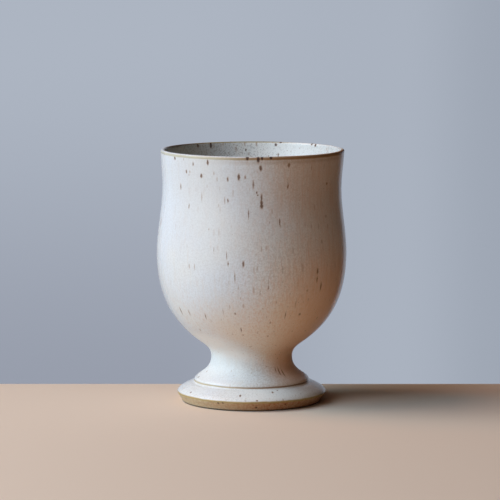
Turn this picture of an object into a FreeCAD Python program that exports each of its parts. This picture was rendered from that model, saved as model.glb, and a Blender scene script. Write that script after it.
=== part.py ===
import FreeCAD, Part
import os
from types import SimpleNamespace

import Sketcher

# Stoneware cup on a low pedestal foot, thrown on a wheel as one piece of clay and then turned.
# It stands on Z = 0 with its turning axis on +Z. Lengths are in millimetres.

document = FreeCAD.newDocument("ceramic_cup")

# Driving sizes: name, number and meaning.
# A pull is how far a curve keeps to its direction at a station before it bends away.
SIZES = (
    ("base_radius", "31.9", "outer edge of the ring that the cup stands on"),
    ("band_height", "3.8", "bare clay band, from the table up to the widest part of the foot"),
    ("foot_radius", "34.7", "foot at its widest"),
    ("foot_edge_pull", "2.7", "roundness of the foot's outer edge"),
    ("skirt_pull_out", "3.45", "slope of the skirt below the step, outwards"),
    ("skirt_pull_down", "1.68", "slope of the skirt below the step, downwards"),
    ("skirt_rise", "5.8", "from the widest part of the foot up to the step"),
    ("step_radius", "26.6", "turned step that the stem stands on"),
    ("step_rise", "0.6", "upright face of the step"),
    ("step_pull", "2.45", "roundness of the step's upper edge"),
    ("neck_rise", "10.6", "from the step's upper edge to the narrowest part of the stem"),
    ("neck_radius", "18.82", "stem at its narrowest"),
    ("neck_pull_down", "7.2", "hollow flare from the neck down to the step"),
    ("neck_pull_up", "4.8", "hollow flare from the neck up to the bowl"),
    ("underside_rise", "9.73", "from the neck to where the flare turns over into the bowl"),
    ("underside_radius", "27.11", "radius at that turn"),
    ("underside_pull_out", "4.65", "slope at that turn, outwards"),
    ("underside_pull_up", "3.79", "slope at that turn, upwards"),
    ("belly_rise", "38.67", "from that turn up to the belly"),
    ("belly_radius", "44", "belly at its widest"),
    ("belly_pull_down", "25.46", "fullness of the bowl below the belly"),
    ("belly_pull_up", "10.04", "fullness of the bowl above the belly"),
    ("waist_rise", "30.6", "from the belly up to the waist"),
    ("waist_radius", "41.45", "waist below the lip"),
    ("waist_pull_down", "9.55", "length of the waist's lower curve"),
    ("waist_pull_up", "5.46", "length of the waist's upper curve"),
    ("lip_rise", "17.6", "from the waist up to the lip"),
    ("lip_radius", "42.55", "outside of the lip"),
    ("lip_pull_down", "7.91", "length over which the lip flares"),
    ("lip_flare", "0.44", "how far the lip flares over that length"),
    ("lip_wall", "1.9", "wall at the lip"),
    ("waist_wall", "2.4", "wall at the waist"),
    ("belly_wall", "3.2", "wall at the belly"),
    ("floor_rise", "7.2", "inside floor of the bowl, above the neck"),
    ("floor_pull_out", "23", "breadth of the inside floor"),
    ("inside_pull_down", "27", "fullness of the inside below the belly"),
    ("hollow_radius", "25.5", "mouth of the hollow under the foot"),
    ("hollow_pull_in", "4", "slope of the hollow's side, inwards"),
    ("hollow_pull_up", "9", "slope of the hollow's side, upwards"),
    ("hollow_height", "17.5", "height of the hollow under the foot"),
    ("hollow_top_pull", "9", "breadth of the hollow's rounded top"),
    ("lip_rounding", "0.9", "rounding of both edges of the lip"),
    ("foot_rounding", "0.8", "rounding where the skirt meets the band"),
    ("base_rounding", "0.5", "rounding of both edges of the ring that the cup stands on"),
)

# How near an edge must start to a stated spot to be taken as the edge there
SAME_PLACE = 0.001


class Length:
    """A length with its number, for drawing, and its formula, for binding."""

    def __init__(self, number, formula):
        self.number = number
        self.formula = formula

    def __add__(self, other):
        return Length(self.number + other.number, f"{self.formula} + {other.formula}")

    def __sub__(self, other):
        return Length(self.number - other.number, f"{self.formula} - ({other.formula})")


def fill_sheet():
    """Write the driving sizes into a sheet and give each one back as a Length."""
    sheet = document.addObject("Spreadsheet::Sheet", "Sizes")
    for row, (name, number, meaning) in enumerate(SIZES, start=1):
        sheet.set(f"A{row}", meaning)
        sheet.set(f"B{row}", number)
        sheet.setAlias(f"B{row}", name)
    document.recompute()
    return SimpleNamespace(
        **{name: Length(float(sheet.get(name)), f"Sizes.{name}") for name, *_ in SIZES}
    )


def bind_point(sketch, element, end, spot):
    """Hold a drawn point at its radius from the axis and its level above the table."""
    for kind, line, length in (("DistanceX", -2, spot[0]), ("DistanceY", -1, spot[1])):
        if length is ZERO:
            sketch.addConstraint(Sketcher.Constraint("PointOnObject", element, end, line))
            continue
        bound = sketch.addConstraint(Sketcher.Constraint(kind, -1, 1, element, end, length.number))
        sketch.setExpression(f"Constraints[{bound}]", length.formula)


def draw_piece(sketch, spots):
    """Draw a line through two spots, or a cubic curve with its ends and its two pulls at four."""
    points = [FreeCAD.Vector(radius.number, level.number, 0) for radius, level in spots]
    if len(points) == 2:
        return sketch.addGeometry(Part.LineSegment(*points), False)
    curve = Part.BSplineCurve()
    curve.buildFromPolesMultsKnots(points, [4, 4], [0, 1], False, 3)
    piece = sketch.addGeometry(curve, False)
    # The curve's own circles mark its poles: they follow it in the sketch, one for each pole
    sketch.exposeInternalGeometry(piece)
    for pole in (1, 2):
        bind_point(sketch, piece + 1 + pole, 3, spots[pole])
    return piece


def draw_outline(body, name, pieces):
    """Draw a closed half section in the upright plane through the axis."""
    upright = next(plane for plane in body.Origin.OriginFeatures if plane.Role == "XZ_Plane")
    sketch = body.newObject("Sketcher::SketchObject", name)
    sketch.AttachmentSupport = [(upright, "")]
    sketch.MapMode = "FlatFace"
    drawn = [draw_piece(sketch, spots) for spots in pieces]
    for piece, following in zip(drawn, drawn[1:] + drawn[:1]):
        sketch.addConstraint(Sketcher.Constraint("Coincident", piece, 2, following, 1))
    for piece, spots in zip(drawn, pieces):
        bind_point(sketch, piece, 2, spots[-1])
    document.recompute()
    return sketch


def turn(body, kind, name, sketch):
    """Turn an outline once round the axis, to add clay or to cut it away."""
    before = body.Shape.Volume if body.Tip else 0.0
    feature = body.newObject(kind, name)
    feature.Profile = sketch
    feature.ReferenceAxis = (sketch, ["V_Axis"])
    feature.Angle = 360
    sketch.Visibility = False
    document.recompute()
    change = feature.Shape.Volume - before
    grows = kind == "PartDesign::Revolution"
    if (change > 0) != grows:
        raise RuntimeError(f"{name} changes the volume by {change:.1f}")
    return feature


def round_edges(body, name, spots, radius):
    """Round the edges that run round the axis through the given spots."""
    base = body.Tip
    starts = [FreeCAD.Vector(distance.number, 0, level.number) for distance, level in spots]
    names = []
    for edge_number, edge in enumerate(base.Shape.Edges, start=1):
        corner = edge.Vertexes[0].Point
        near = any(corner.distanceToPoint(start) < SAME_PLACE for start in starts)
        if near and edge.isClosed():
            names.append(f"Edge{edge_number}")
    if len(names) != len(spots):
        raise RuntimeError(f"{name} found {len(names)} of {len(spots)} edges")
    feature = body.newObject("PartDesign::Fillet", name)
    feature.Base = (base, names)
    feature.setExpression("Radius", radius.formula)
    document.recompute()
    return feature


def throw_cup():
    """The whole cup: outside, bowl, hollow foot and softened edges."""
    body = document.addObject("PartDesign::Body", "Cup")
    body.Label = "cup"

    # Levels of the stations, each from the one below it
    step_foot_level = size.band_height + size.skirt_rise
    step_edge_level = step_foot_level + size.step_rise
    neck_level = step_edge_level + size.neck_rise
    underside_level = neck_level + size.underside_rise
    belly_level = underside_level + size.belly_rise
    waist_level = belly_level + size.waist_rise
    lip_level = waist_level + size.lip_rise

    # Stations of the outside, as radius and level
    base_centre = (ZERO, ZERO)
    base_edge = (size.base_radius, ZERO)
    foot_edge = (size.foot_radius, size.band_height)
    step_foot = (size.step_radius, step_foot_level)
    step_edge = (size.step_radius, step_edge_level)
    neck = (size.neck_radius, neck_level)
    underside = (size.underside_radius, underside_level)
    belly = (size.belly_radius, belly_level)
    waist = (size.waist_radius, waist_level)
    lip = (size.lip_radius, lip_level)
    lip_centre = (ZERO, lip_level)

    # The lip leans out by the same small amount on both of its sides
    lip_pull_level = lip_level - size.lip_pull_down

    outside = draw_outline(
        body,
        "Outside_outline",
        (
            (base_centre, base_edge),
            (base_edge, foot_edge),
            (
                foot_edge,
                (size.foot_radius, size.band_height + size.foot_edge_pull),
                (size.step_radius + size.skirt_pull_out, step_foot_level - size.skirt_pull_down),
                step_foot,
            ),
            (step_foot, step_edge),
            (
                step_edge,
                (size.step_radius, step_edge_level + size.step_pull),
                (size.neck_radius, neck_level - size.neck_pull_down),
                neck,
            ),
            (
                neck,
                (size.neck_radius, neck_level + size.neck_pull_up),
                (
                    size.underside_radius - size.underside_pull_out,
                    underside_level - size.underside_pull_up,
                ),
                underside,
            ),
            (
                underside,
                (
                    size.underside_radius + size.underside_pull_out,
                    underside_level + size.underside_pull_up,
                ),
                (size.belly_radius, belly_level - size.belly_pull_down),
                belly,
            ),
            (
                belly,
                (size.belly_radius, belly_level + size.belly_pull_up),
                (size.waist_radius, waist_level - size.waist_pull_down),
                waist,
            ),
            (
                waist,
                (size.waist_radius, waist_level + size.waist_pull_up),
                (size.lip_radius - size.lip_flare, lip_pull_level),
                lip,
            ),
            (lip, lip_centre),
            (lip_centre, base_centre),
        ),
    )
    turn(body, "PartDesign::Revolution", "Outside", outside)

    # Inside of the bowl: the wall thickens from the lip down, and the floor is round
    floor_level = neck_level + size.floor_rise
    floor_centre = (ZERO, floor_level)
    belly_inside = (size.belly_radius - size.belly_wall, belly_level)
    waist_inside = (size.waist_radius - size.waist_wall, waist_level)
    lip_inside = (size.lip_radius - size.lip_wall, lip_level)
    bowl = draw_outline(
        body,
        "Bowl_outline",
        (
            (
                floor_centre,
                (size.floor_pull_out, floor_level),
                (belly_inside[0], belly_level - size.inside_pull_down),
                belly_inside,
            ),
            (
                belly_inside,
                (belly_inside[0], belly_level + size.belly_pull_up),
                (waist_inside[0], waist_level - size.waist_pull_down),
                waist_inside,
            ),
            (
                waist_inside,
                (waist_inside[0], waist_level + size.waist_pull_up),
                (lip_inside[0] - size.lip_flare, lip_pull_level),
                lip_inside,
            ),
            (lip_inside, lip_centre),
            (lip_centre, floor_centre),
        ),
    )
    turn(body, "PartDesign::Groove", "Bowl", bowl)

    # Hollow turned out of the foot, which leaves a ring to stand on
    hollow_edge = (size.hollow_radius, ZERO)
    hollow_top = (ZERO, size.hollow_height)
    hollow = draw_outline(
        body,
        "Hollow_outline",
        (
            (base_centre, hollow_edge),
            (
                hollow_edge,
                (size.hollow_radius - size.hollow_pull_in, size.hollow_pull_up),
                (size.hollow_top_pull, size.hollow_height),
                hollow_top,
            ),
            (hollow_top, base_centre),
        ),
    )
    turn(body, "PartDesign::Groove", "Hollow_foot", hollow)

    # Softened edges, as fingers and a wet sponge leave them
    round_edges(body, "Lip_rounding", (lip, lip_inside), size.lip_rounding)
    round_edges(body, "Foot_rounding", (foot_edge,), size.foot_rounding)
    round_edges(body, "Base_rounding", (base_edge, hollow_edge), size.base_rounding)
    return body


def check_document(bodies):
    """Stop if any object failed, a sketch is loose or a body isn't one valid solid."""
    for thing in document.Objects:
        if "Invalid" in thing.State or "Error" in thing.State:
            raise RuntimeError(f"{thing.Name} failed: {thing.State}")
        if thing.isDerivedFrom("Sketcher::SketchObject") and not thing.FullyConstrained:
            raise RuntimeError(f"{thing.Name} isn't fully constrained")
    for body in bodies:
        if body.Shape.isNull() or not body.Shape.isValid() or len(body.Shape.Solids) != 1:
            raise RuntimeError(f"{body.Label} isn't one valid solid")


ZERO = Length(0.0, "0")
size = fill_sheet()
bodies = [throw_cup()]
document.recompute()
check_document(bodies)

os.makedirs("parts", exist_ok=True)
for body in bodies:
    body.Shape.exportStep(f"parts/{body.Label}.step")
    box = body.Shape.optimalBoundingBox()
    print(f"{body.Label}: {box.XLength:.2f} x {box.YLength:.2f} x {box.ZLength:.2f} mm")
    print(f"{body.Label}: {body.Shape.Volume / 1000:.2f} cubic centimetres")
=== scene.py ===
import math

import bmesh
import bpy
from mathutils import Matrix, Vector, noise


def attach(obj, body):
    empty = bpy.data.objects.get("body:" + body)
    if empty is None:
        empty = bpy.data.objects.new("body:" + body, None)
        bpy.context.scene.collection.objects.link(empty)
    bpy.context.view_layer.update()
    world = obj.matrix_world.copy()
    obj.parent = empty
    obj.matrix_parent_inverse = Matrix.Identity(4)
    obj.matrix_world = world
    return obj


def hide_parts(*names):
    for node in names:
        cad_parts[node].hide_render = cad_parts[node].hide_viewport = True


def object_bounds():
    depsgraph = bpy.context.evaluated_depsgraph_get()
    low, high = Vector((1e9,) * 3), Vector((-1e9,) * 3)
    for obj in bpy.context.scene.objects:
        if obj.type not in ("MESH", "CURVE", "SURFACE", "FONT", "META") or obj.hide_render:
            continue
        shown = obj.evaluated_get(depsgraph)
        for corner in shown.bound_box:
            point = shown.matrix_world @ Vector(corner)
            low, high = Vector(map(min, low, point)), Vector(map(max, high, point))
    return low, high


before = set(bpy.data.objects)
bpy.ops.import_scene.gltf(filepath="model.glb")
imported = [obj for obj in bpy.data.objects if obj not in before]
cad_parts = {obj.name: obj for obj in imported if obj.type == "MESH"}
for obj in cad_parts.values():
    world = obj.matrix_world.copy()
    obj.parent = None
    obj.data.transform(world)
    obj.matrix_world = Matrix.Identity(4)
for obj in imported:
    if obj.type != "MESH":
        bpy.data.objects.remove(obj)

cad_low, cad_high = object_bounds()

# The cup itself: one piece of stoneware clay, thrown on the wheel as bowl and stem, then turned
# upside down at leather hard, which cut the step, the skirt, the foot and the hollow under it.
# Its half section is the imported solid's own, followed closely and spun round the axis again.
# Levels are heights over the ground in metres. The stem's radius, taken a little small, parts the
# outside of the wall from the hollow under the foot.
WHEEL_STEPS = 288
SAME_PLACE = 0.000002
LIP_LEVEL = cad_high.z
STEP_LEVEL = 0.0099
STEP_RADIUS = 0.0266
RING_INNER_RADIUS = 0.0255
STEM_RADIUS = 0.018

# How far apart the rings of the mesh lie: close where the form or the glaze turns quickly, which
# is at the lip, the step, the edge of the foot and the inner edge of the standing ring
GRAIN_OUTSIDE = 0.0011
GRAIN_INSIDE = 0.0018
GRAIN_EDGES = 0.0002
CURVE_STEPS = 12
LIP_REACH = 0.003
STEP_REACH = 0.0016
STEP_DEPTH = 0.0012
FOOT_TOP_LEVEL = 0.0066
FOOT_INNER_RADIUS = 0.031
RING_TOP_LEVEL = 0.0012
RING_REACH = 0.001
OFF_THE_GROUND = 0.00005

section = bmesh.new()
section.from_mesh(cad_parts["cup"].data)
bmesh.ops.remove_doubles(section, verts=section.verts, dist=SAME_PLACE)
bmesh.ops.bisect_plane(
    section,
    geom=section.verts[:] + section.edges[:] + section.faces[:],
    dist=SAME_PLACE,
    plane_co=(0, 0, 0),
    plane_no=(0, 1, 0),
    clear_inner=True,
    clear_outer=True,
)
other_side = [vert for vert in section.verts if vert.co.x < -SAME_PLACE]
bmesh.ops.delete(section, geom=other_side, context="VERTS")


def follow(section):
    """Places along the half section, from the top of the hollow round the lip to the bowl's floor."""
    ends = [vert for vert in section.verts if len(vert.link_edges) == 1]
    here = min(ends, key=lambda vert: vert.co.z)
    places, edge = [here.co.copy()], None
    while here is not None:
        onward = [link for link in here.link_edges if link is not edge]
        edge = onward[0] if onward else None
        here = edge.other_vert(here) if edge else None
        if here is not None:
            places.append(here.co.copy())
    return places


def smoothed(places, steps):
    """The same line as a curve through the places, with more points between them."""
    curve = bpy.data.curves.new("section", "CURVE")
    curve.dimensions = "3D"
    curve.resolution_u = steps
    spline = curve.splines.new("BEZIER")
    spline.bezier_points.add(len(places) - 1)
    for point, place in zip(spline.bezier_points, places):
        point.co = place
        point.handle_left_type = "AUTO"
        point.handle_right_type = "AUTO"
    holder = bpy.data.objects.new("section", curve)
    bpy.context.scene.collection.objects.link(holder)
    mesh = bpy.data.meshes.new_from_object(holder)
    line = [vert.co.copy() for vert in mesh.vertices]
    bpy.data.objects.remove(holder)
    bpy.data.curves.remove(curve)
    bpy.data.meshes.remove(mesh)
    return line


def grain(place, outside):
    """How far the next ring of the mesh may be."""
    near_lip = place.z > LIP_LEVEL - LIP_REACH
    near_step = abs(place.z - STEP_LEVEL) < STEP_REACH and place.x > STEP_RADIUS - STEP_DEPTH
    near_foot = OFF_THE_GROUND < place.z < FOOT_TOP_LEVEL and place.x > FOOT_INNER_RADIUS
    near_ring = OFF_THE_GROUND < place.z < RING_TOP_LEVEL and place.x > RING_INNER_RADIUS - RING_REACH
    if near_lip or near_step or near_foot or near_ring:
        return GRAIN_EDGES
    return GRAIN_OUTSIDE if outside else GRAIN_INSIDE


line = smoothed(follow(section), CURVE_STEPS)
section.free()
crest = max(range(len(line)), key=lambda index: line[index].z)

# Each ring keeps its distance from the lip's crest along the surface: down the outside it is
# positive, and down the inside negative
along = [0.0]
for before, after in zip(line, line[1:]):
    along.append(along[-1] + (after - before).length)
rings = [(line[0], along[crest])]
last = 0.0
for index, place in enumerate(line):
    if along[index] - last >= grain(place, index < crest):
        rings.append((place, along[crest] - along[index]))
        last = along[index]
rings[-1] = (line[-1], along[crest] - along[-1])

thrown = bmesh.new()
down_layer = thrown.verts.layers.float.new("down")
for place, down in rings:
    vert = thrown.verts.new((max(place.x, 0.0), 0.0, place.z))
    vert[down_layer] = down
thrown.verts.ensure_lookup_table()
for index in range(len(rings) - 1):
    thrown.edges.new((thrown.verts[index], thrown.verts[index + 1]))
bmesh.ops.spin(
    thrown,
    geom=thrown.verts[:] + thrown.edges[:],
    cent=(0, 0, 0),
    axis=(0, 0, 1),
    angle=math.tau,
    steps=WHEEL_STEPS,
    use_merge=True,
)
bmesh.ops.remove_doubles(thrown, verts=thrown.verts, dist=SAME_PLACE)
bmesh.ops.recalc_face_normals(thrown, faces=thrown.faces)

# Where the glaze stops above the bare clay, and how thick it stands there. The line wanders a
# little round the foot, as it does where wax or a wet sponge keeps the glaze off.
GLAZE_EDGE_LEVEL = 0.0045
GLAZE_EDGE_WANDER = 0.00018
SLOW_WANDER = 4.0
QUICK_WANDER = 15.0
QUICK_SHARE = 0.6
GLAZE_THICKNESS = 0.00022
GLAZE_SHOULDER = 0.00045


def turn_of(place):
    """Angle round the axis from the front, positive to the right, in radians."""
    return math.atan2(place.x, -place.y)


def down_at(level):
    """Distance from the lip's crest down the outside to a level."""
    outside = [(place.z, down) for place, down in rings if down > 0 and place.x > STEM_RADIUS]
    return min(outside, key=lambda pair: abs(pair[0] - level))[1]


edge_down = down_at(GLAZE_EDGE_LEVEL)
bare_layer = thrown.verts.layers.float.new("bare")
for vert in thrown.verts:
    turn = turn_of(vert.co)
    round_place = Vector((math.cos(turn), math.sin(turn), 0.0))
    slow = noise.noise(round_place * SLOW_WANDER)
    quick = QUICK_SHARE * noise.noise(round_place * QUICK_WANDER)
    vert[bare_layer] = vert[down_layer] - edge_down - GLAZE_EDGE_WANDER * (slow + quick)

# The potter's hands: the wall's throwing rings, which fade out at the lip, a lip that leans to the
# right by a third of a millimetre, and a glaze that stands proud of the bare foot and gathers on
# the step's corner. The standing ring stays flat. The lean is given as levels, each with how far
# the axis has moved to the right there.
RING_DEPTH_OUTSIDE = 0.00003
RING_DEPTH_INSIDE = 0.0001
RING_PITCH = 0.0045
RING_UNEVENNESS = 1.3
ROUND_UNEVENNESS = 12
RINGS_FADE_FROM_LIP = 0.006
STANDS_ON_LEVEL = 0.0008
STEP_CORNER_LEVEL = 0.0096
STEP_POOL_DEPTH = 0.0002
STEP_POOL_REACH = 0.0007
LEAN = ((0.0, -0.00012), (0.021, 0.0), (0.069, -0.00007), (0.1, 0.00008), (0.1174, 0.00036))


def lean_at(level):
    """How far the axis has moved to the right at a level."""
    for (low, left), (high, right) in zip(LEAN, LEAN[1:]):
        if level <= high:
            share = max(0.0, (level - low) / (high - low))
            return left + (right - left) * share
    return LEAN[-1][1]


thrown.normal_update()
corner_down = down_at(STEP_CORNER_LEVEL)
for vert in thrown.verts:
    down = vert[down_layer]
    depth = RING_DEPTH_OUTSIDE if down > 0 else RING_DEPTH_INSIDE
    spiral = down / RING_PITCH + turn_of(vert.co) / math.tau
    rings_here = noise.noise(
        Vector((spiral * RING_UNEVENNESS, vert.co.x * ROUND_UNEVENNESS, vert.co.y * ROUND_UNEVENNESS))
    )
    push = depth * rings_here * min(1.0, abs(down) / RINGS_FADE_FROM_LIP)
    shoulder = min(1.0, max(0.0, vert[bare_layer] / GLAZE_SHOULDER))
    push -= GLAZE_THICKNESS * shoulder * shoulder * (3 - 2 * shoulder) * (down > 0)
    from_corner = (down - corner_down) / STEP_POOL_REACH
    push += STEP_POOL_DEPTH * math.exp(-from_corner * from_corner)
    if vert.co.z < STANDS_ON_LEVEL:
        push = 0.0
    vert.co += vert.normal * push
    vert.co.x += lean_at(vert.co.z)

# A map of the wall for the flecks: the turn from the front in radians and the distance down the
# wall in metres
POLE_RADIUS = 0.0005
wall_map = thrown.loops.layers.uv.new("wall")
for face in thrown.faces:
    face.smooth = True
    middle = turn_of(face.calc_center_median())
    for loop in face.loops:
        turn = turn_of(loop.vert.co) if loop.vert.co.to_2d().length > POLE_RADIUS else middle
        turn += math.tau * round((middle - turn) / math.tau)
        loop[wall_map].uv = (turn, loop.vert[down_layer])

cup_mesh = bpy.data.meshes.new("stoneware_cup")
thrown.to_mesh(cup_mesh)
thrown.free()
cup = bpy.data.objects.new("stoneware_cup", cup_mesh)
bpy.context.scene.collection.objects.link(cup)
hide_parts("cup")
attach(cup, "root")


# The glaze: a satin off-white over iron-bearing clay. It burns to brown where it runs thin, on the
# lip and on the step, and iron in the clay bleeds through it as flecks that ran down in the firing.
GLAZE_WHITE = (221, 222, 220)
GLAZE_WARM = (214, 202, 186)
GLAZE_COOL = (218, 223, 228)
GLAZE_GREY = (186, 182, 178)
SHADED_GLAZE_DIM = (197, 196, 196)
SHADED_GLAZE_DUSK = (184, 162, 148)
PAINTED_WARM_CREAM = (228, 192, 148)
PAINTED_SHADE_TOAST = (212, 142, 98)
GLAZE_STREAK = (198, 136, 98)
GLAZE_PEPPER = (140, 132, 124)
PAINTED_LIGHT_WHITE = (238, 238, 234)
DEEP_GREY_AND_SHADE = (162, 156, 136)
GLAZE_THIN = (176, 150, 100)
IRON_PALE = (168, 154, 98)
IRON_CREST = (142, 130, 84)
SHADED_IRON_BACK = (84, 60, 38)
IRON_LIP = (146, 106, 64)
STEP_PALE = (190, 176, 142)
IRON_STEP = (136, 100, 66)
FLECK_BROWN = (100, 68, 44)
FLECK_RED = (156, 116, 82)
FLECK_BLACK = (60, 24, 6)
CLAY_PALE = (202, 189, 157)
CLAY_WARM = (160, 102, 58)
CLAY_EDGE = (162, 136, 76)
CLAY_BLACK = (58, 40, 28)

GLAZE_ROUGHNESS = 0.42
GRAZING_GLOSS = 0.32
CREST_DULLNESS = 0.4
FLECK_ROUGHNESS = 0.75
CLAY_ROUGHNESS = 0.8

# Bands in metres from the lip's crest: the brown of the lip outside, the crest, and the step's face
LIP_BAND = (0.0009, 0.0021)
CREST_BAND = 0.001
STEP_BAND = 0.0004
BAND_BLUR = 0.0003
BAND_WANDER = 0.00035
THIN_BAND = 0.0006

# Across the cup the iron shows from nothing at the left place to its full strength at the right one;
# the ramp is partly the iron and partly painted shade on the darker right side
IRON_LEFT = -0.03
IRON_RIGHT = 0.014

# The flecks in front: turn from the front in degrees, level, half width and half length in
# millimetres, and how strongly each one shows
FLECKS_UNDER_LIP = (
    (-56, 115.3, 0.7, 0.7, 0.8),
    (-47, 115.3, 0.4, 0.7, 0.35),
    (-39, 113.1, 0.4, 1.0, 0.6),
    (-28, 114.5, 0.5, 1.2, 1),
    (-45, 109.5, 0.5, 0.9, 0.7),
    (-42, 109.9, 0.4, 0.8, 0.4),
    (-43, 108.2, 0.4, 0.5, 0.4),
    (-33, 108.6, 0.6, 1.0, 0.85),
    (-24, 110.3, 0.4, 1.2, 0.35),
    (-8, 108.4, 0.55, 1.5, 1),
    (-15, 107.5, 0.5, 1.2, 0.6),
    (-22, 107.4, 0.3, 1.5, 0.35),
    (-4, 108.1, 0.5, 1.0, 0.5),
    (-51, 103.0, 0.4, 1.6, 0.6),
    (-29, 103.7, 0.3, 0.9, 0.3),
    (5.4, 112.5, 0.6, 1.3, 1),
    (23.2, 113.1, 0.6, 1.0, 1),
    (1, 105.2, 0.5, 2.3, 0.5),
    (55, 103.9, 0.7, 0.7, 0.6),
    (23, 103.8, 0.4, 1.0, 0.8),
    (23, 105.0, 0.2, 1.6, 0.6),
)
# On the lip and inside it, the second number is the distance from the crest, inside negative
FLECKS_ON_LIP = (
    (-2.7, 1.1, 0.75, 1.0, 1.0),
    (3.9, 1.6, 0.7, 1.6, 1.0),
    (6.3, 1.0, 0.6, 1.1, 1.0),
    (11.7, 0.9, 0.75, 0.9, 1.0),
    (-145.6, -0.3, 0.5, 0.4, 1.0),
    (-166.0, -0.2, 0.5, 0.4, 0.8),
    (172.0, 0.0, 0.4, 0.4, 0.8),
    (-151.4, -1.8, 0.6, 1.5, 1.0),
    (-141.0, -1.7, 0.5, 0.8, 0.8),
    (-176.0, -4.6, 0.35, 0.5, 0.8),
    (-178.0, -6.4, 0.4, 0.9, 0.45),
    (163.6, -1.9, 0.6, 0.7, 0.9),
    (160.3, -0.7, 0.4, 0.5, 0.8),
    (136.2, -0.7, 0.5, 0.7, 1.0),
    (132.8, -1.2, 0.6, 0.8, 1.0),
)
FLECKS_ON_WAIST = (
    (3.1, 101.5, 0.28, 0.6, 0.9),
    (3.7, 100.3, 0.3, 0.4, 0.9),
    (6.1, 98.6, 0.5, 1.9, 0.7),
    (6.1, 96.9, 0.62, 1.7, 0.8),
    (6.1, 95.5, 0.74, 1.2, 0.8),
    (-33, 98.4, 0.4, 2.8, 0.35),
    (-17, 97.8, 0.3, 1.9, 0.45),
    (-15, 98.0, 0.4, 1.0, 0.6),
    (-43, 93.6, 0.4, 1.2, 0.55),
    (-21, 95.6, 0.3, 1.2, 0.3),
    (-2, 91.3, 0.26, 2.3, 0.6),
    (17.3, 88.3, 0.32, 1.7, 0.75),
    (-27, 84.9, 0.3, 0.7, 0.4),
    (-54, 83.9, 0.4, 2.8, 0.25),
    (53, 88.5, 0.7, 0.8, 0.4),
    (11, 88.2, 0.4, 0.7, 0.35),
)
FLECKS_ON_BELLY = (
    (-23, 74.7, 0.2, 1.4, 0.5),
    (-15, 73.4, 0.26, 2.1, 0.5),
    (-14, 69.1, 0.3, 1.2, 0.6),
    (-5, 68.6, 0.55, 1.5, 0.7),
    (-10, 63.4, 0.3, 3.0, 0.5),
    (-40, 66.6, 0.5, 1.6, 0.35),
    (-36, 66.5, 0.4, 1.9, 0.35),
    (10, 60.5, 0.3, 3.0, 0.35),
    (10, 58.5, 0.38, 1.4, 0.48),
    (5, 55.8, 0.3, 2.1, 0.4),
    (43, 64.6, 0.6, 1.3, 0.7),
    (43, 60.9, 0.4, 1.4, 0.65),
    (47, 57.4, 0.5, 2.1, 0.65),
    (36, 56.0, 0.7, 0.9, 0.35),
    (29, 50.4, 0.3, 2.7, 0.4),
    (-8, 58.2, 0.3, 1.4, 0.3),
    (47, 77.6, 0.7, 1.2, 0.4),
    (-7, 54.0, 0.3, 0.7, 0.4),
)
FLECKS_UNDER_BELLY = (
    (-56, 44.8, 0.45, 2.4, 0.55),
    (-47, 44.7, 0.5, 2.1, 0.4),
    (-33, 44.0, 0.35, 1.9, 0.5),
    (-19, 46.6, 0.3, 2.3, 0.35),
    (-11, 45.9, 0.5, 0.8, 0.5),
    (-8, 38.2, 0.3, 1.5, 0.65),
    (-45, 35.8, 0.6, 0.9, 0.4),
    (23, 44.8, 0.3, 2.1, 0.55),
    (34, 45.0, 0.6, 0.7, 0.65),
)
FLECKS_ON_FOOT = (
    (33.5, 16.8, 0.3, 1.4, 0.6),
    (38, 16.3, 0.34, 2.0, 0.8),
    (43, 15.4, 0.34, 2.0, 0.85),
    (-9.5, 7.2, 0.45, 0.8, 0.9),
    (15, 7.0, 0.5, 0.8, 0.9),
    (18.7, 8.0, 0.45, 0.7, 0.9),
    (24.5, 8.7, 0.4, 0.5, 0.8),
    (-58, 6.4, 0.5, 0.5, 0.8),
    (4, 5.3, 0.5, 0.4, 0.8),
    (-26.5, 3.6, 0.5, 0.45, 1.0),
    (-22.5, 3.7, 0.45, 0.4, 1.0),
    (3.5, 1.9, 0.45, 0.5, 1.0),
    (27, 3.0, 0.35, 0.4, 0.7),
)
# Each fleck fades out this many times further than its size, and its edge wobbles by so many metres
SOFT_EDGE = 1.55
FLECK_WOBBLE = 0.0005


def paint(colour):
    """A colour given as it shows on screen, as the light value that the shader takes."""
    shares = [value / 255 for value in colour]
    return tuple(s / 12.92 if s <= 0.04045 else ((s + 0.055) / 1.055) ** 2.4 for s in shares) + (1.0,)


def add_node(tree, kind, settings, feeds):
    """A node with its settings made and its sockets given a value or another node's output."""
    node = tree.nodes.new(kind)
    for name, value in settings.items():
        setattr(node, name, value)
    for socket, value in feeds.items():
        if isinstance(value, bpy.types.NodeSocket):
            tree.links.new(value, node.inputs[socket])
        else:
            node.inputs[socket].default_value = value
    return node


def sums(tree, operation, first, second=0.0, third=0.0):
    """One step of arithmetic between numbers."""
    feeds = {0: first, 1: second, 2: third}
    return add_node(tree, "ShaderNodeMath", {"operation": operation}, feeds).outputs[0]


def times(tree, first, *others):
    """Numbers multiplied together, so that a share counts only where all of them do."""
    for other in others:
        first = sums(tree, "MULTIPLY", first, other)
    return first


def between(tree, value, least, most):
    """The least where the value is 0 and the most where it is 1."""
    return sums(tree, "MULTIPLY_ADD", value, most - least, least)


def along_all(tree, operation, first, second, third=(0.0, 0.0, 0.0)):
    """One step of arithmetic between triples."""
    feeds = {0: first, 1: second, 2: third}
    return add_node(tree, "ShaderNodeVectorMath", {"operation": operation}, feeds).outputs[0]


def ramp(tree, value, start, full):
    """0 before the start and 1 past the full value, with a soft turn at both; it may run downwards."""
    feeds = {"Value": value, "From Min": start, "From Max": full}
    settings = {"interpolation_type": "SMOOTHSTEP"}
    return add_node(tree, "ShaderNodeMapRange", settings, feeds).outputs[0]


def band(tree, value, low, high, blur):
    """1 between low and high, with soft edges."""
    rise = ramp(tree, value, low - blur, low + blur)
    fall = ramp(tree, value, high + blur, high - blur)
    return times(tree, rise, fall)


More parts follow.
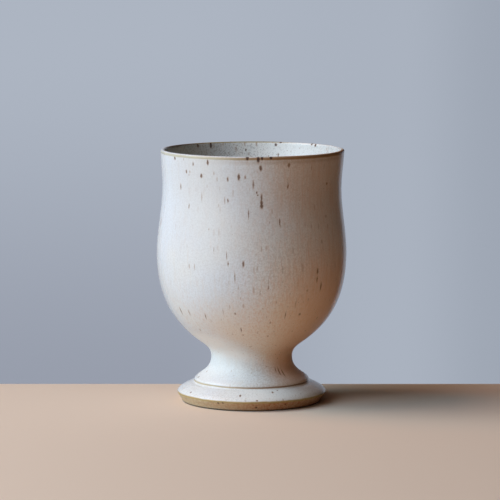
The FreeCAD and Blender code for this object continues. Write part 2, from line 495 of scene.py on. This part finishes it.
def mix(tree, share, under, over):
    """One colour laid over another by a share."""
    node = add_node(tree, "ShaderNodeMix", {"data_type": "RGBA"}, {})
    for socket, value in ((0, share), (6, under), (7, over)):
        if isinstance(value, bpy.types.NodeSocket):
            tree.links.new(value, node.inputs[socket])
        else:
            node.inputs[socket].default_value = value
    return node.outputs[2]


def cloud(tree, place, size, detail=2.0):
    """Noise from 0 to 1 with patches of a size in metres."""
    feeds = {"Vector": place, "Scale": 1.0 / size, "Detail": detail}
    return add_node(tree, "ShaderNodeTexNoise", {}, feeds)


def cells(tree, place, per_metre):
    """Random cells: how far the nearest cell's middle is, and three random numbers for the cell."""
    feeds = {"Vector": place, "Scale": per_metre, "Randomness": 1.0}
    node = add_node(tree, "ShaderNodeTexVoronoi", {}, feeds)
    return node.outputs[0], add_node(tree, "ShaderNodeSeparateColor", {}, {0: node.outputs["Color"]}).outputs


def radius_at(level):
    """The outside's radius at a level."""
    outside = [place for place, down in rings if down > 0 and place.x > STEM_RADIUS]
    return min(outside, key=lambda place: abs(place.z - level)).x


glaze = bpy.data.materials.new("satin_glaze")
glaze.use_nodes = True
tree = glaze.node_tree
shader = tree.nodes["Principled BSDF"]

# Where a place on the cup is: to the right, to the back and up in metres, down the wall from the
# lip's crest, past the glaze's edge, and on the wall's map
place = add_node(tree, "ShaderNodeTexCoord", {}, {}).outputs["Object"]
axes = add_node(tree, "ShaderNodeSeparateXYZ", {}, {0: place})
rightwards = axes.outputs[0]
backwards = axes.outputs[1]
height = axes.outputs[2]
down = add_node(tree, "ShaderNodeAttribute", {"attribute_name": "down"}, {}).outputs["Fac"]
bare = add_node(tree, "ShaderNodeAttribute", {"attribute_name": "bare"}, {}).outputs["Fac"]
wall_place = add_node(tree, "ShaderNodeUVMap", {"uv_map": "wall"}, {}).outputs[0]

# Round the cup, whatever its width there: sideways is -1 at the left edge and 1 at the right one,
# rearwards is -1 in front and 1 at the back
flat_place = add_node(tree, "ShaderNodeCombineXYZ", {}, {0: rightwards, 1: backwards}).outputs[0]
outward = along_all(tree, "NORMALIZE", flat_place, (0.0, 0.0, 0.0))
round_parts = add_node(tree, "ShaderNodeSeparateXYZ", {}, {0: outward})
sideways = round_parts.outputs[0]
rearwards = round_parts.outputs[1]

# Outside and inside meet on the lip's crest
CREST_BLUR = 0.001
WELL_INSIDE = (-0.0004, -0.0012)
outside = ramp(tree, down, 0.0, CREST_BLUR)
within = ramp(tree, down, 0.0, -CREST_BLUR)
well_inside = ramp(tree, down, *WELL_INSIDE)

# What is drawn on these coordinates runs down the wall: a little for flecks, far for streaks
FLECK_RUN = 0.24
STREAK_RUN = 0.07


def runny(share):
    """Coordinates with the way down the wall made shorter."""
    parts = {0: rightwards, 1: backwards, 2: sums(tree, "MULTIPLY", down, share)}
    return add_node(tree, "ShaderNodeCombineXYZ", {}, parts).outputs[0]


def patches(where, size, thin, full, detail=2.0):
    """Soft patches of a size in metres: none where the noise is under thin, whole where over full."""
    return ramp(tree, cloud(tree, where, size, detail).outputs[0], thin, full)


little_run = runny(FLECK_RUN)
long_run = runny(STREAK_RUN)
WANDER_SIZE = 0.006
WOBBLES_A_METRE = 1300.0
wander = sums(tree, "SUBTRACT", cloud(tree, place, WANDER_SIZE).outputs[0], 0.5)
fine_wander = cloud(tree, place, 1.0 / WOBBLES_A_METRE, detail=1.0)
iron_and_shade_share = ramp(tree, rightwards, IRON_LEFT, IRON_RIGHT)

# What clouds the white: large clouds, streaks that ran down, a fine mottle and a pepper of iron
clouds = patches(place, size=0.03, thin=0.35, full=0.68)
pale_streaks = patches(long_run, size=0.0016, thin=0.5, full=0.78)
red_streaks = patches(long_run, size=0.0011, thin=0.48, full=0.68)
short_streaks = patches(little_run, size=0.0007, thin=0.5, full=0.64, detail=1.0)
mottle = patches(place, size=0.0008, thin=0.4, full=0.62)
pepper = patches(place, size=0.00065, thin=0.5, full=0.66, detail=1.0)
blushes = patches(long_run, size=0.003, thin=0.48, full=0.72)

# Where each of them shows. In these pairs a change begins at the first number and is complete at
# the second: levels and widths in metres, sides from -1 to 1. A pair named SHARE gives how much
# of a colour shows before the change and after it.
UNDER_BELLY = (0.064, 0.04)
OVER_STEM = (0.018, 0.03)
PALE_STREAKS = 0.24
RED_STREAK_SIDE = (-0.1, 0.7)
RED_STREAK_SHARE = (0.03, 0.53)
RED_STREAK_LEVEL = (0.01, 0.03)
GRAINY_SIDE = (-0.5, 0.6)
MOTTLE_SHARE = (0.2, 0.7)
MOTTLE_LOW_SHARE = (1.0, 0.5)
PEPPER_SHARE = (0.08, 0.2)
SHORT_STREAK_SIDE = (-0.4, 0.4)
SHORT_STREAK_SHARE = (0.02, 0.22)
SHORT_STREAKS_LOW = 0.12
SHORT_STREAK_LEVEL = (0.014, 0.024)
BLUSH_WIDTH = (0.0, 0.035)
BLUSHES = 0.24

low_on_bowl = times(tree, ramp(tree, height, *UNDER_BELLY), ramp(tree, height, *OVER_STEM))
red_share = between(tree, ramp(tree, sideways, *RED_STREAK_SIDE), *RED_STREAK_SHARE)
red_streaks = times(tree, red_streaks, red_share, outside, ramp(tree, height, *RED_STREAK_LEVEL))
grainy_side = ramp(tree, sideways, *GRAINY_SIDE)
mottle_share = between(tree, grainy_side, *MOTTLE_SHARE)
mottle = times(tree, mottle, mottle_share, between(tree, low_on_bowl, *MOTTLE_LOW_SHARE))
pepper_all_over = times(tree, pepper, between(tree, grainy_side, *PEPPER_SHARE))
short_share = between(tree, ramp(tree, sideways, *SHORT_STREAK_SIDE), *SHORT_STREAK_SHARE)
short_share = sums(tree, "MULTIPLY_ADD", low_on_bowl, SHORT_STREAKS_LOW, short_share)
short_streaks = times(tree, short_streaks, short_share, outside, ramp(tree, height, *SHORT_STREAK_LEVEL))
blushes = times(tree, blushes, ramp(tree, rightwards, *BLUSH_WIDTH), BLUSHES)

# Painted warm light: the cream under the bowl is painted bounce light from the board below, and the
# cream on the right and the toast low on the right are painted warm shade on the side away from the
# lamps. The cream's upper and lower edges slant, so it reaches further both ways there.
CREAM_SLANT = -0.36
CREAM_LEVEL = (0.066, 0.032)
STEM_SLANT = 0.6
CREAM_ABOVE = (0.022, 0.031)
CREAM_UNDER_BOWL = 0.34
CREAM_SIDE = (-0.23, 1.0)
CREAM_RIGHT = 0.5
LOW_SHADE_SIDE = (0.14, 0.9)
LOW_SHADE_LEVEL = (0.085, 0.05)
LOW_SHADE_SHARE = (0.14, 0.48)
LOW_SHADE_ABOVE = (0.004, 0.018)

cream_level = sums(tree, "MULTIPLY_ADD", rightwards, CREAM_SLANT, height)
stem_level = sums(tree, "MULTIPLY_ADD", rightwards, STEM_SLANT, height)
painted_bounce_under_bowl = times(tree, ramp(tree, cream_level, *CREAM_LEVEL), ramp(tree, stem_level, *CREAM_ABOVE))
painted_bounce_under_bowl = times(tree, painted_bounce_under_bowl, CREAM_UNDER_BOWL)
painted_shade_right = times(tree, ramp(tree, sideways, *CREAM_SIDE), CREAM_RIGHT)
painted_warm_light = times(tree, sums(tree, "ADD", painted_bounce_under_bowl, painted_shade_right), outside)
low_shade_share = between(tree, ramp(tree, height, *LOW_SHADE_LEVEL), *LOW_SHADE_SHARE)
painted_shade_low_right = times(tree, ramp(tree, sideways, *LOW_SHADE_SIDE), low_shade_share)
painted_shade_low_right = times(tree, painted_shade_low_right, ramp(tree, height, *LOW_SHADE_ABOVE), outside)

# Painted light: whiter glaze on the lit left of the stem and the foot, a painted highlight on the
# skirt, and whiter glaze on the lit right of the inside
LIT_FOOT_LEVEL = (0.034, 0.025)
LIT_FOOT_SIDE = (0.9, -0.1)
LIT_FOOT = 0.05
LIT_STEM_FROM = (0.019, 0.026)
LIT_STEM_TO = (0.037, 0.031)
LIT_STEM_SIDE = (0.5, -0.3)
LIT_STEM_LEVEL = (0.028, 0.02)
LIT_STEM = 0.7
HIGHLIGHT_SKIRT_LEVEL = (0.0098, 0.0092)
HIGHLIGHT_SKIRT_LEFT = (-0.5, 0.2)
HIGHLIGHT_SKIRT_RIGHT = (1.1, 0.4)
HIGHLIGHT_SKIRT = 0.95
SKIRT_LEVEL = (0.0105, 0.0095)
SKIRT_PEPPER = 0.13
INNER_FROM = (-0.02, 0.0)
INNER_TO = (0.046, 0.018)

painted_light_foot = times(tree, ramp(tree, height, *LIT_FOOT_LEVEL), outside)
painted_light_foot = times(tree, painted_light_foot, ramp(tree, sideways, *LIT_FOOT_SIDE), LIT_FOOT)
painted_light_stem = times(tree, ramp(tree, height, *LIT_STEM_FROM), ramp(tree, height, *LIT_STEM_TO))
painted_light_stem = times(tree, painted_light_stem, ramp(tree, sideways, *LIT_STEM_SIDE))
painted_light_stem = times(tree, painted_light_stem, ramp(tree, stem_level, *LIT_STEM_LEVEL), LIT_STEM)
painted_highlight_skirt = times(tree, ramp(tree, height, *HIGHLIGHT_SKIRT_LEVEL), ramp(tree, sideways, *HIGHLIGHT_SKIRT_LEFT))
painted_highlight_skirt = times(tree, painted_highlight_skirt, ramp(tree, sideways, *HIGHLIGHT_SKIRT_RIGHT), HIGHLIGHT_SKIRT)
painted_light_stem_skirt = sums(tree, "MAXIMUM", painted_light_stem, painted_highlight_skirt)
skirt_pepper = times(tree, pepper, ramp(tree, height, *SKIRT_LEVEL), SKIRT_PEPPER)
painted_light_inside_right = times(tree, ramp(tree, rightwards, *INNER_FROM), ramp(tree, rightwards, *INNER_TO), within)

# Inside it turns a greenish grey further down the wall, and on the left as painted shade, with more
# pepper there
INNER_LEFT = (-0.01, -0.034)
INNER_LEFT_SHADE = 0.45
GREY_DOWN = (-0.007, -0.022)
INNER_PEPPER = (0.026, -0.012)
INNER_PEPPER_SHARE = (0.12, 0.48)

painted_shade_inside_left = times(tree, ramp(tree, rightwards, *INNER_LEFT), within, INNER_LEFT_SHADE)
deeper_grey = ramp(tree, down, *GREY_DOWN)
inner_share = between(tree, ramp(tree, rightwards, *INNER_PEPPER), *INNER_PEPPER_SHARE)
pepper_inside = times(tree, pepper, within, inner_share)

# All of these laid on the white in turn
tints = (
    (clouds, GLAZE_COOL),
    (times(tree, pale_streaks, PALE_STREAKS), GLAZE_WARM),
    (red_streaks, GLAZE_STREAK),
    (mottle, GLAZE_GREY),
    (pepper_all_over, GLAZE_PEPPER),
    (short_streaks, GLAZE_STREAK),
    (blushes, FLECK_RED),
    (painted_warm_light, PAINTED_WARM_CREAM),
    (painted_shade_low_right, PAINTED_SHADE_TOAST),
    (painted_light_foot, PAINTED_LIGHT_WHITE),
    (painted_light_stem_skirt, PAINTED_LIGHT_WHITE),
    (skirt_pepper, GLAZE_PEPPER),
    (painted_light_inside_right, PAINTED_LIGHT_WHITE),
    (painted_shade_inside_left, DEEP_GREY_AND_SHADE),
    (deeper_grey, DEEP_GREY_AND_SHADE),
    (pepper_inside, GLAZE_PEPPER),
)
white = paint(GLAZE_WHITE)
for share, colour in tints:
    white = mix(tree, share, white, paint(colour))

# Painted shade: the upper wall is a little dimmer, and dusky high up on the right
UPPER_LEVEL = (0.06, 0.088)
UPPER_SIDE = (-0.97, -0.7)
UPPER_SHADE = 0.34
DUSK_SIDE = (0.0, 0.35)
DUSK_LEVEL = (0.083, 0.103)

painted_shade_upper = times(tree, ramp(tree, height, *UPPER_LEVEL), outside, ramp(tree, sideways, *UPPER_SIDE))
painted_dusk_here = times(tree, ramp(tree, sideways, *DUSK_SIDE), ramp(tree, height, *DUSK_LEVEL))
upper_shade_colour = mix(tree, painted_dusk_here, paint(SHADED_GLAZE_DIM), paint(SHADED_GLAZE_DUSK))
white = mix(tree, times(tree, painted_shade_upper, UPPER_SHADE), white, upper_shade_colour)

# Brown where it runs thin: the lip outside, its crest behind and at the front right, the step's
# face, and the last of the glaze above the bare clay. The brown of lip and step grows darker to the
# right partly as painted shade, the crest is darkest at the back left as painted shade, and a band
# under the lip is painted shade.
UNDER_LIP_BAND = (0.0024, 0.004)
UNDER_LIP_BLUR = 0.0008
UNDER_LIP_SHADE = 0.3
LIP_SHARE = (0.55, 0.97)
BEHIND = (0.0, 0.02)
BEHIND_TO = (0.026, 0.006)
FRONT_RIGHT = (0.0, 0.016)
FRONT_RIGHT_TO = (0.012, -0.008)
CREST_BROWN = 0.95
CREST_PALER = (-0.034, -0.016)

shifted = sums(tree, "MULTIPLY_ADD", wander, BAND_WANDER, down)
# Painted shade under the lip's roll, stronger to the right
painted_shade_under_lip = times(tree, band(tree, shifted, *UNDER_LIP_BAND, UNDER_LIP_BLUR), iron_and_shade_share)
white = mix(tree, times(tree, painted_shade_under_lip, UNDER_LIP_SHADE), white, paint(IRON_LIP))
lip_band = band(tree, shifted, *LIP_BAND, BAND_BLUR)
lip_brown = times(tree, lip_band, between(tree, iron_and_shade_share, *LIP_SHARE))
# Pale at the left and brown at the right, partly painted shade
lip_colour = mix(tree, iron_and_shade_share, paint(IRON_PALE), paint(IRON_LIP))
white = mix(tree, lip_brown, white, lip_colour)

crest_band = band(tree, down, -CREST_BAND, CREST_BAND, BAND_BLUR)
behind = times(tree, ramp(tree, backwards, *BEHIND), ramp(tree, rightwards, *BEHIND_TO))
front_right = times(tree, ramp(tree, rightwards, *FRONT_RIGHT), ramp(tree, backwards, *FRONT_RIGHT_TO))
crest_brown = times(tree, crest_band, sums(tree, "MAXIMUM", behind, front_right), CREST_BROWN)
# Painted shade: the crest behind is darkest at the left, where it lies in shade
crest_colour = mix(tree, ramp(tree, rightwards, *CREST_PALER), paint(SHADED_IRON_BACK), paint(IRON_CREST))
crest_colour = mix(tree, front_right, crest_colour, paint(IRON_LIP))
white = mix(tree, crest_brown, white, crest_colour)

from_step = sums(tree, "ABSOLUTE", sums(tree, "SUBTRACT", shifted, down_at(STEP_LEVEL)))
step_band = ramp(tree, from_step, STEP_BAND + BAND_BLUR, STEP_BAND - BAND_BLUR)
# Pale at the left and brown at the right, partly painted shade
step_colour = mix(tree, iron_and_shade_share, paint(STEP_PALE), paint(IRON_STEP))
white = mix(tree, step_band, white, step_colour)
white = mix(tree, ramp(tree, bare, -THIN_BAND, 0.0), white, paint(GLAZE_THIN))

# Flecks listed one by one: how far the nearest one is, from 0 in the middle of a strong one to 1 at
# its edge. A weak one starts nearer to 1.
FLECK_FADE = (1.0, 0.35)
MEAN_RADIUS = 0.04

wobble = along_all(tree, "SUBTRACT", fine_wander.outputs["Color"], (0.5, 0.5, 0.5))
wobble_size = (FLECK_WOBBLE / MEAN_RADIUS, FLECK_WOBBLE, 0.0)
drawn_on = along_all(tree, "MULTIPLY_ADD", wobble, wobble_size, wall_place)
nearest = 1.0
by_level = FLECKS_UNDER_LIP + FLECKS_ON_WAIST + FLECKS_ON_BELLY + FLECKS_UNDER_BELLY + FLECKS_ON_FOOT
all_flecks = []
for turn, fleck_level, *rest in by_level:
    all_flecks.append((turn, down_at(fleck_level / 1000), radius_at(fleck_level / 1000), *rest))
for turn, below, *rest in FLECKS_ON_LIP:
    all_flecks.append((turn, below / 1000, radius_at(LIP_LEVEL), *rest))
for turn, down_here, radius, half_width, half_length, strength in all_flecks:
    across = radius / (half_width * SOFT_EDGE / 1000)
    lengthways = 1.0 / (half_length * SOFT_EDGE / 1000)
    middle = (-math.radians(turn) * across, -down_here * lengthways, 1.0 - strength)
    from_fleck = along_all(tree, "MULTIPLY_ADD", drawn_on, (across, lengthways, 0.0), middle)
    distance = add_node(tree, "ShaderNodeVectorMath", {"operation": "LENGTH"}, {0: from_fleck})
    nearest = sums(tree, "MINIMUM", distance.outputs["Value"], nearest)
placed = ramp(tree, nearest, *FLECK_FADE)

# Random flecks away from the front and inside the cup, each in its own cell and of its own size
FLECK_CELLS_A_METRE = 290.0
FLECK_SIZES = (0.01, 0.26)
FLECK_RAGGED = 0.12
AWAY_FROM_FRONT = (-0.4, -0.25)

from_middle, of_cell = cells(tree, little_run, FLECK_CELLS_A_METRE)
fleck_size = between(tree, of_cell[0], *FLECK_SIZES)
edge_wander = sums(tree, "SUBTRACT", fine_wander.outputs[0], 0.5)
ragged = sums(tree, "MULTIPLY_ADD", edge_wander, FLECK_RAGGED, from_middle)
random_here = ramp(tree, sums(tree, "DIVIDE", ragged, fleck_size), *FLECK_FADE)
random_share = sums(tree, "MAXIMUM", ramp(tree, rearwards, *AWAY_FROM_FRONT), well_inside)
flecks = sums(tree, "MAXIMUM", placed, times(tree, random_here, random_share))

# Pinprick specks and short thin marks everywhere, more of them where the iron shows
SPECKS_A_METRE = 620.0
SPECK_REACH = (-0.04, 0.16)
SPECK_FADE = (0.05, -0.03)
MARKS_A_METRE = 480.0
MARK_REACH = (-0.08, 0.22)
MARK_FADE = (0.06, -0.06)
FAINT_SHARE = (0.1, 0.4)
FAINT_INSIDE = 0.3
ROUND_STEM_TOP = (0.064, 0.042)
ROUND_STEM_FOOT = (0.014, 0.02)
FAINT_ROUND_STEM = 0.3

from_speck, of_speck = cells(tree, place, SPECKS_A_METRE)
speck_edge = sums(tree, "SUBTRACT", from_speck, between(tree, of_speck[1], *SPECK_REACH))
from_mark, of_mark = cells(tree, little_run, MARKS_A_METRE)
mark_edge = sums(tree, "SUBTRACT", from_mark, between(tree, of_mark[2], *MARK_REACH))
faint = sums(tree, "MAXIMUM", ramp(tree, speck_edge, *SPECK_FADE), ramp(tree, mark_edge, *MARK_FADE))
faint_share = between(tree, iron_and_shade_share, *FAINT_SHARE)
faint_share = sums(tree, "MULTIPLY_ADD", well_inside, FAINT_INSIDE, faint_share)
round_stem = times(tree, ramp(tree, height, *ROUND_STEM_TOP), ramp(tree, height, *ROUND_STEM_FOOT))
round_stem = times(tree, round_stem, iron_and_shade_share)
faint_share = sums(tree, "MULTIPLY_ADD", round_stem, FAINT_ROUND_STEM, faint_share)
white = mix(tree, times(tree, faint, faint_share), white, paint(FLECK_RED))

# A fleck is brown with a reddish rim, redder on the right, and nearly black on and inside the lip
FLECK_CORE = (0.45, 1.0)
REDDER_SIDE = (0.1, 0.5)
REDDER = 0.6
BLACK_NEAR_LIP = (0.0034, 0.0022)
BLACK_CORE = (0.5, 1.0)
FLECK_COVER = 0.93

fleck_colour = mix(tree, ramp(tree, flecks, *FLECK_CORE), paint(FLECK_RED), paint(FLECK_BROWN))
redder = times(tree, ramp(tree, sideways, *REDDER_SIDE), REDDER)
fleck_colour = mix(tree, redder, fleck_colour, paint(FLECK_RED))
blackened = times(tree, ramp(tree, down, *BLACK_NEAR_LIP), ramp(tree, flecks, *BLACK_CORE))
fleck_colour = mix(tree, blackened, fleck_colour, paint(FLECK_BLACK))
white = mix(tree, times(tree, flecks, FLECK_COVER), white, fleck_colour)

# The bare clay of the foot: pale ochre to toasted brown, browner to the right partly as painted
# shade, with coarse grain and black iron specks, a darker line under the glaze and a painted contact
# shadow on the corner where it meets the ground
CLAY_GRAIN_SIZE = 0.0011
CLAY_GRAIN = (0.3, 0.7)
CLAY_GRAIN_TOAST = 0.3
CLAY_SIDE_WARMTH_AND_SHADE = 0.7
GRIT_A_METRE = 900.0
GRIT_FADE = (0.2, 0.1)
GRIT = 0.6
EDGE_LINE = (0.0012, 0.0002)
EDGE_DARK = 0.8
CLAY_FLECKS = 0.85
CONTACT_SHADOW_LEVEL = (0.0011, 0.0003)
CONTACT_SHADOW_REACH = (0.0009, 0.0001)
CONTACT_SHADOW = 0.9
BARE_WANDER = 0.0002
BARE_EDGE = (-0.00005, 0.0001)
CORNER_LEVEL = 0.0003

clay_grain = ramp(tree, cloud(tree, place, CLAY_GRAIN_SIZE, 4.0).outputs[0], *CLAY_GRAIN)
clay_warmth_and_shade = sums(tree, "MULTIPLY_ADD", clay_grain, CLAY_GRAIN_TOAST, times(tree, iron_and_shade_share, CLAY_SIDE_WARMTH_AND_SHADE))
clay = mix(tree, clay_warmth_and_shade, paint(CLAY_PALE), paint(CLAY_WARM))
grit = ramp(tree, cells(tree, place, GRIT_A_METRE)[0], *GRIT_FADE)
clay = mix(tree, times(tree, grit, GRIT), clay, paint(CLAY_BLACK))
clay = mix(tree, times(tree, ramp(tree, bare, *EDGE_LINE), EDGE_DARK), clay, paint(CLAY_EDGE))
clay = mix(tree, times(tree, placed, CLAY_FLECKS), clay, paint(CLAY_BLACK))
ring_places = [far_down for spot, far_down in rings if far_down > 0 and spot.z < CORNER_LEVEL]
corner = min(ring_places)
# Painted contact shadow: the corner where the foot meets the ground is painted near black
on_corner = ramp(tree, down, corner + CONTACT_SHADOW_REACH[0], corner + CONTACT_SHADOW_REACH[1])
painted_contact_shadow = times(tree, ramp(tree, height, *CONTACT_SHADOW_LEVEL), on_corner, CONTACT_SHADOW)
clay = mix(tree, painted_contact_shadow, clay, paint(CLAY_BLACK))
is_bare = ramp(tree, sums(tree, "MULTIPLY_ADD", wander, BARE_WANDER, bare), *BARE_EDGE)
surface = mix(tree, is_bare, white, clay)
tree.links.new(surface, shader.inputs["Base Color"])

# How glossy it is: satin, duller in the flecks, on the stem, on the brown crest and on bare clay,
# and glossier where it is seen edge on, a little later on the stem than on bowl and foot
ROUGH_CLOUD_SIZE = 0.004
ROUGH_CLOUD = 0.08
DULL_STEM_TOP = (0.036, 0.03)
DULL_STEM_FOOT = (0.011, 0.014)
STEM_DULLNESS = 0.2
BOWL_LEVEL = (0.034, 0.056)
FOOT_LEVEL = (0.013, 0.011)
GLOSS_STARTS = (0.8, 0.6)
GLOSS_FULL = (0.95, 0.83)

rough_cloud = cloud(tree, place, ROUGH_CLOUD_SIZE).outputs[0]
rough = sums(tree, "MULTIPLY_ADD", rough_cloud, ROUGH_CLOUD, GLAZE_ROUGHNESS - ROUGH_CLOUD / 2)
rough = sums(tree, "MULTIPLY_ADD", flecks, FLECK_ROUGHNESS - GLAZE_ROUGHNESS, rough)
dull_stem = times(tree, ramp(tree, height, *DULL_STEM_TOP), ramp(tree, height, *DULL_STEM_FOOT))
rough = sums(tree, "MULTIPLY_ADD", dull_stem, STEM_DULLNESS, rough)
rough = sums(tree, "MULTIPLY_ADD", is_bare, CLAY_ROUGHNESS - GLAZE_ROUGHNESS, rough)
rough = sums(tree, "MULTIPLY_ADD", crest_brown, CREST_DULLNESS, rough)
edge_on = add_node(tree, "ShaderNodeLayerWeight", {}, {}).outputs["Facing"]
glassy = sums(tree, "SUBTRACT", 1.0, sums(tree, "MAXIMUM", crest_brown, is_bare))
bowl_or_foot = sums(tree, "MAXIMUM", ramp(tree, height, *BOWL_LEVEL), ramp(tree, height, *FOOT_LEVEL))
gloss_starts = between(tree, bowl_or_foot, *GLOSS_STARTS)
gloss_full = between(tree, bowl_or_foot, *GLOSS_FULL)
glossier = times(tree, ramp(tree, edge_on, gloss_starts, gloss_full), glassy, GRAZING_GLOSS)
tree.links.new(sums(tree, "SUBTRACT", rough, glossier), shader.inputs["Roughness"])

# The fine relief: orange peel in the glaze, pits at the flecks and gritty clay
PEEL_SIZE = 0.0011
PEEL_DEPTH = 0.00006
PIT_DEPTH = 0.00002
GRITTY_SIZE = 0.0005
GRITTY_DEPTH = 0.00016

peel = times(tree, cloud(tree, place, PEEL_SIZE, 1.0).outputs[0], PEEL_DEPTH)
pits = sums(tree, "MULTIPLY_ADD", flecks, -PIT_DEPTH, peel)
gritty = times(tree, cloud(tree, place, GRITTY_SIZE, 4.0).outputs[0], GRITTY_DEPTH)
relief = sums(tree, "MULTIPLY_ADD", gritty, is_bare, pits)
bump = add_node(tree, "ShaderNodeBump", {}, {"Height": relief, "Distance": 1.0, "Strength": 1.0})
tree.links.new(bump.outputs[0], shader.inputs["Normal"])
cup_mesh.materials.append(glaze)


# The ground that the cup stands on in the picture: a plain pale board that ends a little way behind
# it, with nothing on it.
BOARD_COLOUR = (226, 208, 190)
BOARD_ROUGHNESS = 0.6
BOARD_SHINE = 0.0
BOARD_BACK_EDGE = 0.045
BOARD_FRONT_EDGE = -1.2
BOARD_HALF_WIDTH = 1.3
BOARD_THICKNESS = 0.03

slab = bmesh.new()
bmesh.ops.create_cube(slab, size=1.0)
board_depth = BOARD_BACK_EDGE - BOARD_FRONT_EDGE
bmesh.ops.scale(slab, verts=slab.verts, vec=(2 * BOARD_HALF_WIDTH, board_depth, BOARD_THICKNESS))
board_middle = (0.0, (BOARD_BACK_EDGE + BOARD_FRONT_EDGE) / 2, -BOARD_THICKNESS / 2)
bmesh.ops.translate(slab, verts=slab.verts, vec=board_middle)
board_mesh = bpy.data.meshes.new("board")
slab.to_mesh(board_mesh)
slab.free()
board = bpy.data.objects.new("board", board_mesh)
bpy.context.scene.collection.objects.link(board)

ground = bpy.data.materials.new("pale_ground")
ground.use_nodes = True
ground_shader = ground.node_tree.nodes["Principled BSDF"]
ground_shader.inputs["Base Color"].default_value = paint(BOARD_COLOUR)
ground_shader.inputs["Roughness"].default_value = BOARD_ROUGHNESS
ground_shader.inputs["Specular IOR Level"].default_value = BOARD_SHINE
board_mesh.materials.append(ground)


# The camera: a long lens at 1.4 metres, higher than the cup, which looks down on it by 6.8 degrees.
# The lens is given by its length in points of the picture, which is 500 of them wide.
LENS_PIXELS = 3000.0
PICTURE_PIXELS = 500.0
SENSOR_WIDTH = 36.0
CAMERA_PLACE = (-0.0008, -1.382, 0.236)
LOOK_DOWN = math.radians(6.835)

lens = bpy.data.cameras.new("camera")
lens.sensor_width = SENSOR_WIDTH
lens.lens = SENSOR_WIDTH * LENS_PIXELS / PICTURE_PIXELS
camera = bpy.data.objects.new("camera", lens)
camera.location = CAMERA_PLACE
camera.rotation_euler = (math.pi / 2 - LOOK_DOWN, 0.0, 0.0)
bpy.context.scene.collection.objects.link(camera)
bpy.context.scene.camera = camera


# The light: four round soft lamps on the left, cool ones as a window and warm ones as the glow that
# it throws round the room. Each has its turn from the front and its height in degrees, its size
# in metres, its colour and its power in watts.
LAMPS = (
    ("window", -60, 30, 1.0, (0.52, 0.76, 1.0), 15.2),
    ("window_side", -90, 30, 0.6, (0.45, 0.84, 1.0), 8.2),
    ("front_glow", -35, 20, 1.2, (1.0, 0.85, 0.72), 5.4),
    ("ceiling_glow", -90, 50, 1.0, (1.0, 0.55, 0.36), 11.0),
)
LAMP_DISTANCE = 1.5
CUP_MIDDLE = Vector((0, 0, 0.06))

for name, azimuth, elevation, size, colour, power in LAMPS:
    lamp = bpy.data.lights.new(name, "AREA")
    lamp.shape = "DISK"
    lamp.size = size
    lamp.color = colour
    lamp.energy = power
    stand = bpy.data.objects.new(name, lamp)
    turn, lift = math.radians(azimuth), math.radians(elevation)
    towards = Vector((math.sin(turn) * math.cos(lift), -math.cos(turn) * math.cos(lift), math.sin(lift)))
    stand.location = CUP_MIDDLE + towards * LAMP_DISTANCE
    stand.rotation_euler = towards.to_track_quat("Z", "Y").to_euler()
    bpy.context.scene.collection.objects.link(stand)

# The room: the wall as the camera sees it, paler at the upper left and beside the cup on the right,
# the same wall mirrored in the glaze over a wider turn, and the weaker light of wall and room on
# the cup. Turns are in radians from straight behind the cup, heights are those of a direction.
WALL_TOP_LEFT = (173, 181, 194)
WALL_LOW_LEFT = (151, 157, 171)
WALL_RIGHT = (170, 178, 191)
WALL_FAR_RIGHT = (159, 167, 180)
WALL_LIGHT = (0.08, 0.06, 0.06, 1.0)
ROOM_LIGHT = (0.024, 0.016, 0.011, 1.0)
WALL_FROM = math.radians(-25)
WALL_TO = math.radians(30)
MIRROR_FROM = math.radians(-60)
MIRROR_TO = math.radians(31)
WALL_BLUR = 0.03
MIRROR_BLUR = 0.02
WALL_HEIGHTS = (-0.175, -0.05)
LEFT_TO_RIGHT = (-0.03, 0.045)
RIGHT_TO_FAR_RIGHT = (0.05, 0.085)

world = bpy.data.worlds.new("room")
world.use_nodes = True
bpy.context.scene.world = world
room = world.node_tree
towards_room = add_node(room, "ShaderNodeTexCoord", {}, {}).outputs["Generated"]
facing = add_node(room, "ShaderNodeSeparateXYZ", {}, {0: towards_room})
aside = sums(room, "ARCTAN2", facing.outputs[0], facing.outputs[1])
wall_right = ramp(room, aside, WALL_TO + WALL_BLUR, WALL_TO - WALL_BLUR)
wall_left = ramp(room, aside, WALL_FROM - WALL_BLUR, WALL_FROM + WALL_BLUR)
wall_here = times(room, wall_left, wall_right)
lights_cup = mix(room, wall_here, ROOM_LIGHT, WALL_LIGHT)
upwards = ramp(room, facing.outputs[2], *WALL_HEIGHTS)
left_part = mix(room, upwards, paint(WALL_LOW_LEFT), paint(WALL_TOP_LEFT))
far_right = ramp(room, aside, *RIGHT_TO_FAR_RIGHT)
right_part = mix(room, far_right, paint(WALL_RIGHT), paint(WALL_FAR_RIGHT))
seen_wall = mix(room, ramp(room, aside, *LEFT_TO_RIGHT), left_part, right_part)
rays = add_node(room, "ShaderNodeLightPath", {}, {})
mirror_right = ramp(room, aside, MIRROR_TO + MIRROR_BLUR, MIRROR_TO - MIRROR_BLUR)
mirror_left = ramp(room, aside, MIRROR_FROM - MIRROR_BLUR, MIRROR_FROM + MIRROR_BLUR)
mirror_here = times(room, mirror_left, mirror_right)
mirrored = times(room, rays.outputs["Is Glossy Ray"], mirror_here)
shown = mix(room, mirrored, lights_cup, seen_wall)
shown = mix(room, rays.outputs["Is Camera Ray"], shown, seen_wall)
room.links.new(shown, room.nodes["Background"].inputs["Color"])
bpy.context.scene.view_settings.view_transform = "Standard"
